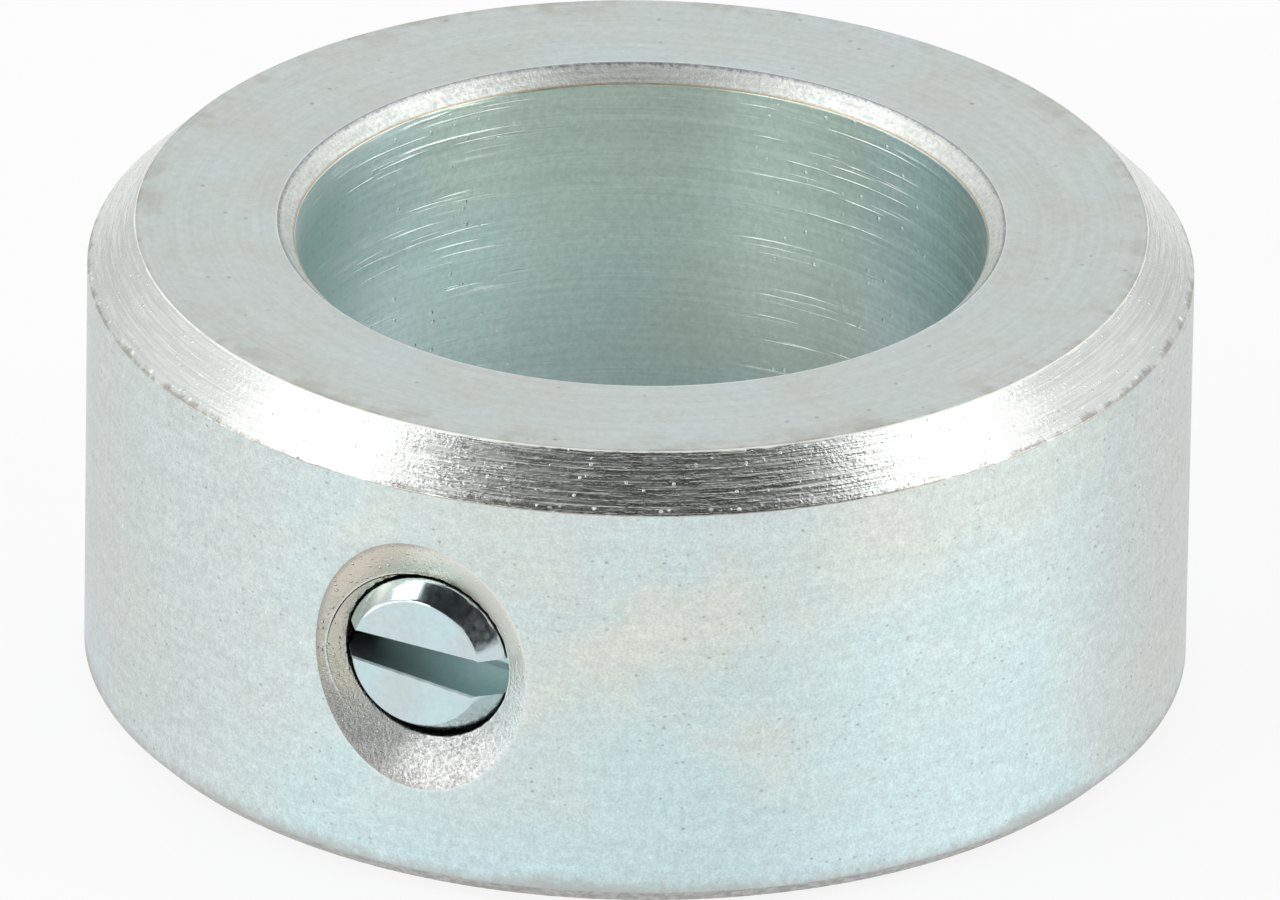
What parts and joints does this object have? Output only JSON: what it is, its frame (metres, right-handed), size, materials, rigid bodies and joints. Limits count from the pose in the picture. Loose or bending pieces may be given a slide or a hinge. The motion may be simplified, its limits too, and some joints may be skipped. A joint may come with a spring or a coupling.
{
  "type": "grub screw shaft collar",
  "caption": "Turned steel ring with chamfered edges that slides onto a shaft and is locked there by a slotted grub screw in a countersunk tapped hole.",
  "frame": {"origin": "centre of the ring's lower face, on the axis of the bore", "axes": "+Z along the bore, towards the broad chamfer; -Y out of the ring along the grub screw"},
  "size_m": [0.032, 0.032, 0.014],
  "materials": {
    "ring_zinc": "turned steel with a pale blue passivated zinc plating, satin",
    "screw_zinc": "pale blue passivated zinc plating, smooth"
  },
  "bodies": {
    "ring": {"collar_ring": "ring_zinc"},
    "screw": {"grub_screw": "screw_zinc"}
  },
  "joints": [
    {"name": "screw_travel", "type": "slide", "parent": "ring", "child": "screw", "axis": [0, -1, 0], "range_m": [-0.002, 0.004]}
  ]
}
